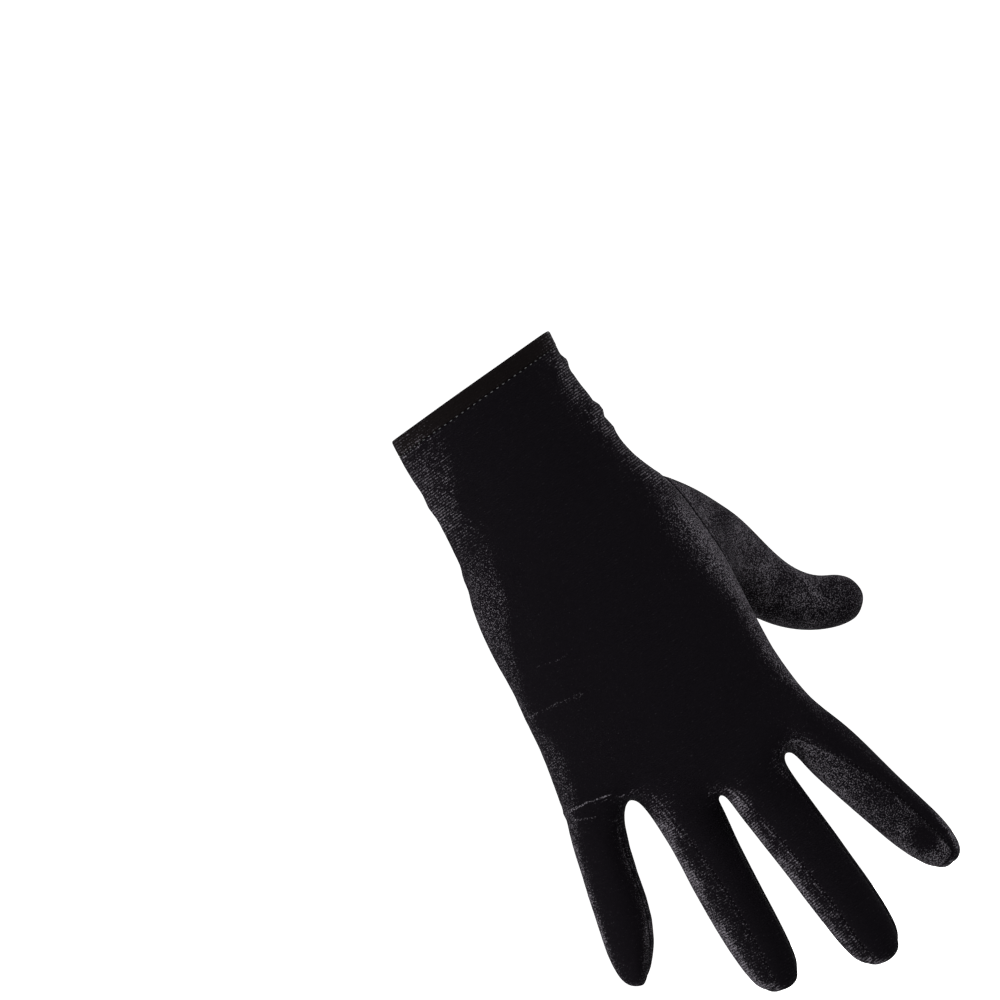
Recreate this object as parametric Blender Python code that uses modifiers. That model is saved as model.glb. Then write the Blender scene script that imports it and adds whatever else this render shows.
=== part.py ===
# Wrist-length dress glove for the right hand, in the form that it has when worn.
# Metres, +Z up and out of the cuff; the back of the hand faces -Y and the thumb side is +X.
# The origin is the centre of the wrist opening, and the fingers point down.
import math
from collections import namedtuple

import bmesh
import bpy
from mathutils import Vector

# Driving sizes
palm_length = 0.148      # cuff edge to the lowest web
cuff_width = 0.0600      # across the wrist opening
cuff_depth = 0.0450
wrist_width = 0.0625
wrist_depth = 0.0410
palm_width = 0.0865      # across the knuckles, without the thumb
palm_depth = 0.0300
cloth = 0.0012           # pile and knit together
hem_cloth = 0.0022       # the hem is the cloth turned in once
hem_height = 0.0053      # cuff edge to the line of stitches
seam_gap = 0.0003        # between the edges of two sewn pieces
finger_length = 0.0742   # middle finger, from its root to the tip
finger_width = 0.0206
finger_depth = 0.0192
thumb_length = 0.0409    # from its web to the tip
thumb_width = 0.0180
thumb_depth = 0.0176
fold_height = 0.0013
squareness = 2.3         # exponent of the rounded cross-sections

# Cross-sections of the hand without the thumb. along is a share of the way from the cuff edge
# to the webs; left (little finger's side) and right (thumb's side) are half widths, back and
# palm half depths, all measured from the wrist's axis.
Section = namedtuple("Section", "along left right back palm")
hem_share = hem_height / palm_length
hand_sections = [
    Section(0.000, 0.502 * cuff_width, 0.495 * cuff_width, 0.50 * cuff_depth, 0.50 * cuff_depth),
    Section(hem_share, 0.522 * cuff_width, 0.486 * cuff_width, 0.49 * cuff_depth, 0.49 * cuff_depth),
    Section(2 * hem_share, 0.508 * wrist_width, 0.459 * wrist_width, 0.52 * wrist_depth, 0.52 * wrist_depth),
    Section(0.185, 0.526 * wrist_width, 0.462 * wrist_width, 0.49 * wrist_depth, 0.50 * wrist_depth),
    Section(0.300, 0.560 * wrist_width, 0.453 * wrist_width, 0.46 * wrist_depth, 0.50 * wrist_depth),
    Section(0.380, 0.468 * palm_width, 0.388 * palm_width, 0.61 * palm_depth, 0.68 * palm_depth),
    Section(0.465, 0.500 * palm_width, 0.395 * palm_width, 0.60 * palm_depth, 0.66 * palm_depth),
    Section(0.555, 0.515 * palm_width, 0.402 * palm_width, 0.58 * palm_depth, 0.62 * palm_depth),
    Section(0.640, 0.527 * palm_width, 0.400 * palm_width, 0.57 * palm_depth, 0.58 * palm_depth),
    Section(0.735, 0.548 * palm_width, 0.378 * palm_width, 0.56 * palm_depth, 0.52 * palm_depth),
    Section(0.830, 0.572 * palm_width, 0.357 * palm_width, 0.55 * palm_depth, 0.48 * palm_depth),
    Section(0.920, 0.602 * palm_width, 0.352 * palm_width, 0.50 * palm_depth, 0.42 * palm_depth),
]

# Fingers from the little to the index finger. width, depth and length are shares of the finger
# sizes above; x, y and z place the root's centre, in shares of palm_width, palm_depth and
# palm_length. splay leans it towards the thumb and curl towards the palm, in degrees; bow is
# a share of its width. narrow thins the outer half, and blunt the last ring of the cage.
Finger = namedtuple("Finger", "width depth length x y z splay curl bow narrow blunt")
fingers = [
    Finger(0.897, 0.896, 0.748, -0.530, 0.06, 0.888, -19.7, 9.0, 0.02, 0.92, 0.90),
    Finger(0.985, 0.969, 0.953, -0.233, -0.02, 0.956, -6.5, 8.0, -0.08, 0.97, 0.93),
    Finger(1.000, 1.000, 1.000, 0.012, -0.06, 1.005, 1.6, 7.0, 0.02, 1.00, 0.93),
    Finger(0.945, 0.958, 0.855, 0.276, -0.02, 0.996, 12.5, 8.0, -0.07, 0.95, 0.86),
]

# Rings of a finger's cage: along its length, and its size as a share of the finger's own
Ring = namedtuple("Ring", "along size")
finger_rings = [
    Ring(0.11, 1.000), Ring(0.29, 0.985), Ring(0.48, 0.970),
    Ring(0.67, 0.950), Ring(0.83, 0.885), Ring(0.945, 0.690),
]

# Where the columns of the cage run round a finger, in degrees from the middle of its back and
# positive towards the thumb, at the root and from twist_end on. The seams of the back lie
# at back_left and back_right, those of the palm side at palm_right and palm_left.
Columns = namedtuple("Columns", "back_left back back_right side_right palm_right palm palm_left side_left")
finger_columns = [
    (Columns(-58, 0, 62, 98, 132, 180, 228, 272), Columns(-52, 10, 70, 104, 138, 186, 232, 270)),
    (Columns(-35, 14, 66, 98, 132, 180, 228, 272), Columns(4, 46, 87, 114, 146, 200, 250, 306)),
    (Columns(-42, 12, 66, 98, 132, 180, 228, 270), Columns(-23, 32, 82, 112, 146, 194, 242, 290)),
    (Columns(-8, 26, 64, 95, 132, 184, 240, 294), Columns(42, 72, 100, 126, 150, 198, 258, 332)),
]
twist_end = 0.45
taper_start = 0.70       # from here the strips between the fingers narrow to a point
tapers = [0.35, 0.35, 0.35, 0.10]
narrow_start = 0.40      # between these shares of its length a finger takes its outer width
narrow_end = 0.90

# The webs: the seam of the back meets the web at left and right of x, z below the cuff edge;
# x in shares of palm_width, z in shares of palm_length. gap is the space between the fingers.
Web = namedtuple("Web", "x z left left_z right right_z gap")
webs = [
    Web(-0.398, 0.902, -0.425, 0.898, -0.330, 0.894, 0.044),
    Web(-0.118, 1.003, -0.129, 1.000, -0.078, 0.999, 0.016),
    Web(0.150, 1.012, 0.141, 1.006, 0.232, 0.990, 0.016),
]
# The outer root of the little finger and that of the index finger, on the hand's sides
OuterRoot = namedtuple("OuterRoot", "x z")
outer_roots = [OuterRoot(-0.634, 0.862), OuterRoot(0.359, 0.945)]
back_root_z = [0.868, 0.938, 0.990, 0.980]   # middle of each finger's back at its root
root_back = [0.43, 0.50, 0.53, 0.48]        # heights of the back and the palm side there
root_palm = [0.42, 0.42, 0.40, 0.42]
root_shoulder = 0.90     # the height there beside the middle, as a share of it
little_inset = 0.34      # the outermost seams lie this share of the way in to the finger's middle
index_inset = 0.30
index_rise = 0.40        # and at this share of the way up to the back's end
middle_shift = 0.006     # the middle columns lie this share of palm_width towards the thumb
outer_depth = 0.02       # depth of the little finger's outer root, as a share of palm_depth
level_end = 0.25         # above this share of the hand's length its rows run level
lined_up = 0.55          # from this share on its columns run in line with the fingers

# The thumb: rings of its cage from its web to the tip. out, down and front lead to the centre
# from thumb_root, in shares of thumb_length; width and depth are shares of the thumb's, and
# lean turns the ring's plane, in degrees.
thumb_root = Vector((0.425 * palm_width, 0.95 * palm_depth, -0.655 * palm_length))
Station = namedtuple("Station", "out down front width depth lean")
thumb_stations = [
    Station(0.000, 0.000, 0.000, 1.20, 1.18, 20.0),
    Station(0.095, 0.291, 0.110, 1.10, 1.08, 33.0),
    Station(0.289, 0.501, 0.183, 0.95, 1.00, 50.0),
    Station(0.455, 0.572, 0.213, 0.94, 0.96, 64.0),
    Station(0.570, 0.623, 0.227, 0.68, 0.72, 66.0),
]
thumb_tip = thumb_root + thumb_length * Vector((0.633, 0.235, -0.648))
thumb_fan = 3            # rings between the hand and the first station, counting that one
thumb_ball = 0.25        # the ball of the thumb stands out by this share of thumb_width,
thumb_ball_turn = 30.0   # most at this turn round its rings,
thumb_ball_way = Vector((0.8, 0.6, 0.0))
thumb_cap = 0.40         # size of the end face as a share of the last ring
thumb_top_row = 5        # rows of the hand between which the thumb is set in
thumb_low_row = 8

# Wide folds and dents of the cloth: middle, half length and half width in shares of palm_width
# (z in shares of palm_length), tilt in degrees, height outwards as a share of fold_height;
# face -1 is the back, +1 the palm side and 0 both.
Fold = namedtuple("Fold", "x z half_length half_width tilt height face")
folds = [
    Fold(0.330, 0.208, 0.139, 0.055, -4, 1.00, 0),
    Fold(0.330, 0.150, 0.139, 0.052, 4, -0.45, 0),
    Fold(-0.510, 0.858, 0.120, 0.058, -12, 0.60, -1),
    Fold(-0.500, 0.905, 0.110, 0.058, -20, -0.40, -1),
    Fold(-0.440, 0.645, 0.139, 0.070, -14, 0.55, -1),
    Fold(0.200, 0.560, 0.254, 0.080, 62, -0.90, 1),
    Fold(-0.100, 0.780, 0.300, 0.080, 8, -0.80, 1),
]

# A ring of the cage shrinks to this share when it is subdivided
ring_of_eight = 0.925
ring_of_twelve = 0.966

parts = ["cuff_hem", "back_panel", "palm_panel", "thumb",
         "fourchette_little_ring", "fourchette_ring_middle", "fourchette_middle_index"]
HEM, BACK, PALM, THUMB, WEB = range(5)


def ease(t):
    """Smooth step from 0 to 1."""
    t = min(1.0, max(0.0, t))
    return t * t * (3.0 - 2.0 * t)


def mix(a, b, t):
    return a + (b - a) * t


def superellipse(angle, left, right, back, palm):
    """Point of a rounded section; angle in degrees from the middle of the back to the right."""
    s = math.sin(math.radians(angle))
    c = math.cos(math.radians(angle))
    radius = (abs(s) ** squareness + abs(c) ** squareness) ** (-1.0 / squareness)
    half_width = right if s > 0 else left
    half_depth = back if c > 0 else palm
    return half_width * radius * s, -half_depth * radius * c


def angle_at(share):
    """Angle at which a rounded section of half width 1 reaches this share of it."""
    share = max(-1.0, min(1.0, share))
    c = (1.0 - abs(share) ** squareness) ** (1.0 / squareness)
    return math.degrees(math.atan2(share, c))


# The ring of columns round the hand, from the little finger's outer side across the back to
# the thumb's side and back across the palm: (finger, place)
hand_columns = [(0, "side_left")]
hand_columns += [(f, place) for f in range(4) for place in ("back_left", "back", "back_right")]
hand_columns += [(3, "side_right")]
hand_columns += [(f, place) for f in (3, 2, 1, 0) for place in ("palm_right", "palm", "palm_left")]


def root_point(column):
    """Where a column of the hand ends, at the root of its finger."""
    f, place = column
    if place == "side_left":
        return Vector((outer_roots[0].x * palm_width, outer_depth * palm_depth, -outer_roots[0].z * palm_length))
    if place == "side_right":
        return Vector((outer_roots[1].x * palm_width, 0.0, -outer_roots[1].z * palm_length))
    on_palm = place.startswith("palm")
    height = root_palm[f] * palm_depth if on_palm else -root_back[f] * palm_depth
    if place.endswith("left"):
        if f == 0:
            x, z = mix(outer_roots[0].x, fingers[0].x, little_inset), outer_roots[0].z
        else:
            x, z = webs[f - 1].right, webs[f - 1].right_z
        height *= root_shoulder
    elif place.endswith("right"):
        if f == 3:
            x = mix(outer_roots[1].x, fingers[3].x, index_inset)
            z = mix(outer_roots[1].z, back_root_z[3], index_rise)
        else:
            x, z = webs[f].left, webs[f].left_z
        height *= root_shoulder
    else:
        x, z = fingers[f].x + middle_shift, back_root_z[f]
    return Vector((x * palm_width, height, -z * palm_length))


def hand_point(row, column):
    """A point of the hand's cage; the rows tilt from the cuff edge to the line of the webs."""
    section = hand_sections[row]
    end = root_point(column)
    depth = mix(palm_length, -end.z, ease((section.along - level_end) / (1.0 - level_end)))
    evenly = 360.0 * hand_columns.index(column) / len(hand_columns) - 90.0
    half = -outer_roots[0].x if end.x < 0 else outer_roots[1].x
    fitted = angle_at(end.x / (half * palm_width))
    if column[1].startswith("palm"):
        fitted = 180.0 - fitted
    angle = mix(evenly, fitted, ease(section.along / lined_up))
    x, y = superellipse(angle, *section[1:])
    return Vector((x, y, -section.along * depth))


def finger_line(f):
    """A finger's root, its direction without the curl, and its length."""
    finger = fingers[f]
    root = Vector((finger.x * palm_width, finger.y * palm_depth, -finger.z * palm_length))
    splay = math.radians(finger.splay)
    return root, Vector((math.sin(splay), 0.0, -math.cos(splay))), finger.length * finger_length


def finger_point(f, ring, place):
    """A point of a finger's cage."""
    finger = fingers[f]
    root, down, length = finger_line(f)
    side = Vector((-down.z, 0.0, down.x))
    bend = math.radians(finger.curl) * ring.along
    width = finger.width * finger_width
    centre = root + down * (length * ring.along)
    centre += side * (finger.bow * width * math.sin(math.pi * ring.along))
    centre.y += length * ring.along * math.sin(bend)
    front = Vector((0.0, 1.0, 0.0)) - down * math.sin(bend)
    front.normalize()
    turned = ease(ring.along / twist_end)
    around = Columns(*(mix(a, b, turned) for a, b in zip(*finger_columns[f])))
    narrowed = tapers[f] * ease((ring.along - taper_start) / (finger_rings[-1].along - taper_start))
    angle = getattr(around, place)
    if place in ("back_right", "palm_right") and f < 3:
        angle = mix(angle, around.side_right, narrowed)
    if place in ("back_left", "palm_left") and f > 0:
        side_left = around.side_left if place == "palm_left" else around.side_left - 360.0
        angle = mix(angle, side_left, narrowed)
    angle = math.radians(angle)
    outer = ease((ring.along - narrow_start) / (narrow_end - narrow_start))
    size = ring.size * mix(1.0, finger.narrow, outer) / ring_of_eight
    if ring is finger_rings[-1]:
        size *= finger.blunt
    depth = finger.depth * finger_depth
    return centre + 0.5 * size * (side * (width * math.sin(angle)) - front * (depth * math.cos(angle)))


def finger_tip(f):
    root, down, length = finger_line(f)
    tip = root + down * length
    tip.y += length * math.sin(math.radians(fingers[f].curl))
    return tip


def thumb_point(station, turn):
    """A point of a ring of the thumb's cage; turn runs from its outer side towards the palm."""
    lean = math.radians(station.lean)
    outward = Vector((math.cos(lean), 0.0, math.sin(lean)))
    front = Vector((0.0, 1.0, 0.0))
    centre = thumb_root + thumb_length * Vector((station.out, station.front, -station.down))
    angle = math.radians(turn)
    across = outward * (thumb_width * station.width * math.cos(angle))
    across += front * (thumb_depth * station.depth * math.sin(angle))
    return centre + across * (0.5 / ring_of_twelve)


def build_cage():
    """The whole outer surface as a coarse cage; each face knows the piece that it belongs to."""
    cage = bmesh.new()
    count = len(hand_columns)

    def face(points, part):
        """A face whose points run clockwise as seen from outside."""
        cage.faces.new(points[::-1]).material_index = part

    rows = [[cage.verts.new(hand_point(row, column)) for column in hand_columns]
            for row in range(len(hand_sections))]
    rows.append([cage.verts.new(root_point(column)) for column in hand_columns])
    back_end = hand_columns.index((3, "side_right"))
    hole = range(back_end, hand_columns.index((3, "palm_left")))
    for row in range(len(rows) - 1):
        for i in range(count):
            j = (i + 1) % count
            if i in hole and thumb_top_row <= row < thumb_low_row:
                continue
            part = HEM if row == 0 else BACK if i < back_end else PALM
            face((rows[row][i], rows[row][j], rows[row + 1][j], rows[row + 1][i]), part)

    # webs between the fingers
    root_of = dict(zip(hand_columns, rows[-1]))
    for f, web in enumerate(webs):
        for place, shift in (("side_right", -0.5), ("side_left", 0.5)):
            x = (web.x + shift * web.gap) * palm_width
            y = mix(fingers[f].y, fingers[f + 1].y, 0.5) * palm_depth
            key = (f if shift < 0 else f + 1, place)
            root_of[key] = cage.verts.new((x, y, -web.z * palm_length))
        left = [root_of[(f, place)] for place in ("back_right", "side_right", "palm_right")]
        right = [root_of[(f + 1, place)] for place in ("back_left", "side_left", "palm_left")]
        for k in range(2):
            face((left[k], right[k], right[k + 1], left[k + 1]), WEB + f)

    # fingers
    for f in range(4):
        ring = [root_of[(f, place)] for place in Columns._fields]
        sides = [BACK, BACK, None, None, PALM, PALM, None, None]
        sides[2:4] = (BACK, PALM) if f == 3 else (WEB + f, WEB + f)
        sides[6:8] = (PALM, BACK) if f == 0 else (WEB + f - 1, WEB + f - 1)
        for shape in finger_rings:
            after = [cage.verts.new(finger_point(f, shape, place)) for place in Columns._fields]
            for k in range(8):
                m = (k + 1) % 8
                face((ring[k], ring[m], after[m], after[k]), sides[k])
            ring = after
        tip = cage.verts.new(finger_tip(f))
        face((ring[7], ring[0], ring[1], tip), BACK)
        face((ring[1], ring[2], ring[3], tip), BACK)
        face((ring[3], ring[4], ring[5], tip), PALM)
        face((ring[5], ring[6], ring[7], tip), PALM)

    # thumb, from the ring of cage points round its opening
    low, top = thumb_low_row, thumb_top_row
    first, last = hole.start, hole.stop
    ring = [rows[top][i] for i in range(first, last + 1)]
    ring += [rows[row][last] for row in range(top + 1, low + 1)]
    ring += [rows[low][i] for i in range(last - 1, first - 1, -1)]
    ring += [rows[row][first] for row in range(low - 1, top, -1)]
    base = [point.co.copy() for point in ring]
    turns = [360.0 * k / len(ring) for k in range(len(ring))]
    shapes = []
    target = [thumb_point(thumb_stations[0], turn) for turn in turns]
    for step in range(1, thumb_fan):
        t = step / thumb_fan
        shape = []
        for start, end, turn in zip(base, target, turns):
            lift = max(0.0, math.cos(math.radians(turn - thumb_ball_turn))) * math.sin(math.pi * t)
            shape.append(start.lerp(end, t) + thumb_ball_way * (thumb_ball * thumb_width * lift))
        shapes.append(shape)
    shapes += [[thumb_point(station, turn) for turn in turns] for station in thumb_stations]
    for shape in shapes:
        after = [cage.verts.new(point) for point in shape]
        for k in range(len(ring)):
            m = (k + 1) % len(ring)
            face((ring[k], ring[m], after[m], after[k]), THUMB)
        ring = after
    centre = sum((point.co for point in ring), Vector()) / len(ring)
    inner = []
    for k in (0, 3, 6, 9):
        point = centre.lerp(ring[k].co, thumb_cap)
        inner.append(cage.verts.new(point + (thumb_tip - centre)))
    face((ring[11], ring[0], ring[1], inner[0]), THUMB)
    face((ring[1], ring[2], inner[1], inner[0]), THUMB)
    face((ring[2], ring[3], ring[4], inner[1]), THUMB)
    face((ring[4], ring[5], inner[2], inner[1]), THUMB)
    face((ring[5], ring[6], ring[7], inner[2]), THUMB)
    face((ring[7], ring[8], inner[3], inner[2]), THUMB)
    face((ring[8], ring[9], ring[10], inner[3]), THUMB)
    face((ring[10], ring[11], inner[0], inner[3]), THUMB)
    face((inner[0], inner[1], inner[2], inner[3]), THUMB)
    unused = [point for point in cage.verts if not point.link_faces]
    bmesh.ops.delete(cage, geom=unused, context="VERTS")
    return cage


def lift_at(point):
    """How far the folds lift the cloth at a point of its outer surface."""
    height = 0.0
    for fold in folds:
        if fold.face and fold.face * point.y < 0:
            continue
        tilt = math.radians(fold.tilt)
        x = point.x - fold.x * palm_width
        z = point.z + fold.z * palm_length
        along = (x * math.cos(tilt) + z * math.sin(tilt)) / (fold.half_length * palm_width)
        over = (z * math.cos(tilt) - x * math.sin(tilt)) / (fold.half_width * palm_width)
        height += fold_height * fold.height * math.exp(-along ** 4 - over ** 2)
    return height


def smooth_surface(cage, guides):
    """The cage subdivided once, with the folds."""
    mesh = bpy.data.meshes.new("glove_cage")
    cage.to_mesh(mesh)
    cage.free()
    guide = bpy.data.objects.new("glove_cage", mesh)
    guides.objects.link(guide)
    for name in parts:
        mesh.materials.append(bpy.data.materials[name])
    rounding = guide.modifiers.new("rounding", "SUBSURF")
    rounding.levels = 1
    rounding.render_levels = 1
    guide.hide_render = True
    guide.display_type = "WIRE"
    evaluated = guide.evaluated_get(bpy.context.evaluated_depsgraph_get())
    surface = bmesh.new()
    surface.from_mesh(evaluated.to_mesh())
    evaluated.to_mesh_clear()
    surface.normal_update()
    for vert in surface.verts:
        vert.co += vert.normal * lift_at(vert.co)
    surface.normal_update()
    outwards = surface.verts.layers.float_vector.new("outwards")
    number = surface.verts.layers.int.new("number")
    for place, vert in enumerate(surface.verts):
        vert[outwards] = vert.normal
        vert[number] = place
    return surface


def make_piece(surface, part, thickness, collection):
    """One piece of cloth: its share of the surface, with a wall inwards.

    The wall follows the whole surface's normals, and the faces of its edge are split the same
    way as the neighbour's, so that the edges of two pieces stay parallel.
    """
    piece = surface.copy()
    outwards = piece.verts.layers.float_vector["outwards"]
    number = piece.verts.layers.int["number"]
    moves = {}
    for vert in piece.verts:
        own = [face.calc_center_median() for face in vert.link_faces if face.material_index == part]
        rest = [face.calc_center_median() for face in vert.link_faces if face.material_index != part]
        if own and rest:
            inwards = sum(own, Vector()) / len(own) - sum(rest, Vector()) / len(rest)
            inwards -= vert.normal * inwards.dot(vert.normal)
            moves[vert] = inwards.normalized() * (0.5 * seam_gap)
    for vert, move in moves.items():
        vert.co += move
    others = [face for face in piece.faces if face.material_index != part]
    bmesh.ops.delete(piece, geom=others, context="FACES")
    wall = bmesh.ops.extrude_face_region(piece, geom=piece.faces[:], use_keep_orig=True)
    inside = {vert for vert in wall["geom"] if isinstance(vert, bmesh.types.BMVert)}
    for vert in inside:
        vert.co -= vert[outwards] * thickness
    for face in [face for face in piece.faces if 0 < sum(vert in inside for vert in face.verts) < 4]:
        near = min((vert for vert in face.verts if vert not in inside), key=lambda vert: vert[number])
        far = max((vert for vert in face.verts if vert in inside), key=lambda vert: vert[number])
        bmesh.utils.face_split(face, near, far)
    bmesh.ops.recalc_face_normals(piece, faces=piece.faces[:])
    mesh = bpy.data.meshes.new(parts[part])
    piece.to_mesh(mesh)
    piece.free()
    mesh.materials.clear()
    mesh.materials.append(bpy.data.materials[parts[part]])
    for polygon in mesh.polygons:
        polygon.material_index = 0
    mesh.shade_smooth()
    collection.objects.link(bpy.data.objects.new(parts[part], mesh))


def make_material(name, colour):
    material = bpy.data.materials.new(name)
    material.use_nodes = True
    shader = material.node_tree.nodes["Principled BSDF"]
    shader.inputs["Base Color"].default_value = (*colour, 1.0)
    shader.inputs["Roughness"].default_value = 0.95
    shader.inputs["Sheen Weight"].default_value = 0.6
    material.diffuse_color = (*colour, 1.0)


for old in list(bpy.data.objects):
    bpy.data.objects.remove(old)
glove = bpy.data.collections.new("dress_glove")
guides = bpy.data.collections.new("guides")
bpy.context.scene.collection.children.link(glove)
bpy.context.scene.collection.children.link(guides)
for name in parts:
    make_material(name, (0.012, 0.011, 0.014))
surface = smooth_surface(build_cage(), guides)
for part, name in enumerate(parts):
    make_piece(surface, part, hem_cloth if part == HEM else cloth, glove)
surface.free()
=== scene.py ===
# A wrist-length dress glove in black stretch velvet, in the form it has on a hand.
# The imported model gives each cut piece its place. Here every piece gets smooth, rounded cloth,
# creases, the ribs and pile of the knit, and its stitches.
import math

import bmesh
import bpy
import numpy as np
from mathutils import Matrix, Vector, noise
from mathutils.bvhtree import BVHTree
from mathutils.kdtree import KDTree


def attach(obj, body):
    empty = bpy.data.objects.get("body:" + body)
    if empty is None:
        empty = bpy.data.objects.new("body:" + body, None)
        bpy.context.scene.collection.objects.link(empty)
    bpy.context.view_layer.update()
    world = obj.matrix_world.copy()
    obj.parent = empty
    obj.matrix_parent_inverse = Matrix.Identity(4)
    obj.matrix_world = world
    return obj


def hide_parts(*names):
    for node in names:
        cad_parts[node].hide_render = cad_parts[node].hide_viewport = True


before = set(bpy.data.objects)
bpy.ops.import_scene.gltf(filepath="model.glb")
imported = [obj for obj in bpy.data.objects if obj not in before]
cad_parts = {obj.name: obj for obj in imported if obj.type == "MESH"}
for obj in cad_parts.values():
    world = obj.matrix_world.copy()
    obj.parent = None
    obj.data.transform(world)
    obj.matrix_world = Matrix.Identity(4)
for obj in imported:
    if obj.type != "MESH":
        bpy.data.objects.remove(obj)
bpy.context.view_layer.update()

mm = 0.001
scene = bpy.context.scene

# The camera looks straight at the back of the hand, turned about its own axis as in the picture
view = {
    "across": Vector((0.8171, 0.0, -0.5764)),   # the picture's right
    "up": Vector((0.5764, 0.0, 0.8171)),        # and its upward direction
    "middle": Vector((-13.0, 0.0, -34.06)) * mm,
    "distance": 8.0,
    "frameWidth": 310.0 * mm,                   # seen at the glove
    "sensor": 36.0,
    "clip": (0.05, 60.0),
}


def makeCamera():
    data = bpy.data.cameras.new("camera")
    data.sensor_width = view["sensor"]
    data.lens = view["sensor"] * view["distance"] / view["frameWidth"]
    data.clip_start, data.clip_end = view["clip"]
    camera = bpy.data.objects.new("camera", data)
    scene.collection.objects.link(camera)
    back = view["across"].cross(view["up"]).normalized()
    turn = Matrix((view["across"], view["up"], back)).transposed()
    camera.matrix_world = Matrix.Translation(view["middle"] + back * view["distance"]) @ turn.to_4x4()
    scene.camera = camera


makeCamera()
print("camera placed")


def ease(t):
    t = np.clip(t, 0.0, 1.0)
    return t * t * (3.0 - 2.0 * t)


# 0 before the start and 1 once the value is over it by the second figure
def past(value, start, over):
    return ease((value - start) / over)


def below(value, start, over):
    return ease((start - value) / over)


def link(tree, source, target):
    tree.links.new(source, target)


# Cloth pieces
cloth = {
    "levels": 2,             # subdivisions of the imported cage
    "growSteps": 2,
    "merge": 0.001 * mm,     # packed points closer than this are one
    "quadAngle": 50.0,       # two triangles make a quad up to this angle between them
    "cornerAngle": 60.0,     # and with corners no further than this from right angles
    "sharpAngle": 50.0,      # from here on an edge is the cut edge of the cloth
    "stripEdges": 1.7,       # faces with more sharp edges than this each are a cut edge
    "votes": 60,             # at most so many faces of a group are asked for their side,
    "level": 0.8,            # sideways, unless they look up or down by more than this
    "rayGap": 0.02 * mm,
    "mostWalls": 40,
    "edgeCrease": 0.33,      # keeps the cut edges crisp before they are rounded
    "close": 0.155 * mm,     # sewn edges move towards each other by this, until they meet
    "dip": 0.36 * mm,        # and sink by this, so a seam lies in a shallow valley
    "freeEdge": -1.0 * mm,   # above this height the hem's own edge is left alone
    "hemLine": -8.0 * mm,    # above this one the seam is the hem's, which hardly sinks
    "hemDip": 0.06 * mm,
    "wave": 0.22 * mm,       # gentle unevenness of the stretched cloth
    "waveSize": 14.0 * mm,
    "waveFade": 9.0 * mm,    # it grows over this height below the cuff
    "pucker": 0.10 * mm,     # ripples where the thread pulls at a seam
    "puckerSize": 2.4 * mm,
}
# name of the piece, and the node that it stands for
clothPieces = [
    ("cuffHem", "cuff_hem"),
    ("backOfHand", "back_panel"),
    ("palmOfHand", "palm_panel"),
    ("thumbPiece", "thumb"),
    ("fourchetteLittleRing", "fourchette_little_ring"),
    ("fourchetteRingMiddle", "fourchette_ring_middle"),
    ("fourchetteMiddleIndex", "fourchette_middle_index"),
]

# Each finger's root in the hand's plane (x, z) and its lean, in mm and degrees, from the little
# finger on, and the middle line of the thumb
fingerLines = [
    (-45.8, -131.4, -19.7),
    (-20.2, -141.5, -6.5),
    (1.0, -148.7, 1.6),
    (23.9, -147.4, 12.5),
]
rootFade = 16.0 * mm         # over this length the ribs turn from the hand's to a finger's
thumbLine = {"root": (36.8, 28.5, -96.9), "tip": (62.7, 38.1, -123.4)}

# Creases of the cloth: points (x, z) in mm on one face (-1 back, 1 palm, 0 both), half width,
# height outwards, and how strongly a painted highlight shines along its crest
creases = [
    ([(-52.0, -125.4), (-46.0, -126.2), (-38.0, -128.2), (-31.0, -132.0)], -1, 1.1, 0.40, 0.10),
    ([(-52.0, -128.6), (-46.0, -131.2)], -1, 1.0, 0.30, 0.05),
    ([(-44.0, -94.3), (-36.0, -95.8), (-28.0, -97.3)], -1, 1.2, 0.28, 0.08),
    ([(-33.5, -82.8), (-22.0, -86.0)], -1, 1.4, 0.22, 0.02),
    ([(-33.0, -23.0), (-26.0, -26.0), (-20.0, -27.0)], 0, 2.2, 0.35, 0.00),
    ([(-35.0, -48.0), (-28.0, -52.0), (-24.0, -55.0)], 0, 2.2, 0.40, 0.00),
    ([(31.0, -10.0), (24.0, -11.5)], 0, 1.4, 0.55, 0.05),
    ([(31.0, -28.5), (24.0, -28.5)], 0, 1.5, 0.75, 0.05),
    ([(33.0, -35.0), (25.0, -36.0)], 0, 1.6, 0.30, 0.05),
]
# Across a crease, in its half widths: the hollow on both sides of it, and how wide the painted highlight
# on its crest is
creaseShape = {"hollow": 0.45, "hollowAt": 2.2, "hollowWidth": 1.1, "shine": 0.8, "facing": 1.5}


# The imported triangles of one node, merged and turned back into four-sided faces
def quadCage(node):
    cage = bmesh.new()
    cage.from_mesh(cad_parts[node].data)
    bmesh.ops.remove_doubles(cage, verts=cage.verts[:], dist=cloth["merge"])
    bmesh.ops.join_triangles(
        cage, faces=cage.faces[:], cmp_seam=False, cmp_sharp=False, cmp_uvs=False,
        cmp_vcols=False, cmp_materials=False, angle_face_threshold=math.radians(cloth["quadAngle"]),
        angle_shape_threshold=math.radians(cloth["cornerAngle"]), topology_influence=1.0)
    cage.verts.layers.float_vector.new("outwards")
    cage.verts.layers.float.new("seam")
    cage.verts.layers.float.new("outside")
    cage.edges.layers.float.new("crease_edge")
    cage.faces.layers.float.new("cutEdge")
    cage.normal_update()
    return cage


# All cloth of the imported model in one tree, to tell the outside of a wall from its inside
def wallTree():
    points, faces = [], []
    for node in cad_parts.values():
        start = len(points)
        points += [v.co.copy() for v in node.data.vertices]
        faces += [tuple(start + i for i in f.vertices) for f in node.data.polygons]
    return BVHTree.FromPolygons(points, faces)


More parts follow.
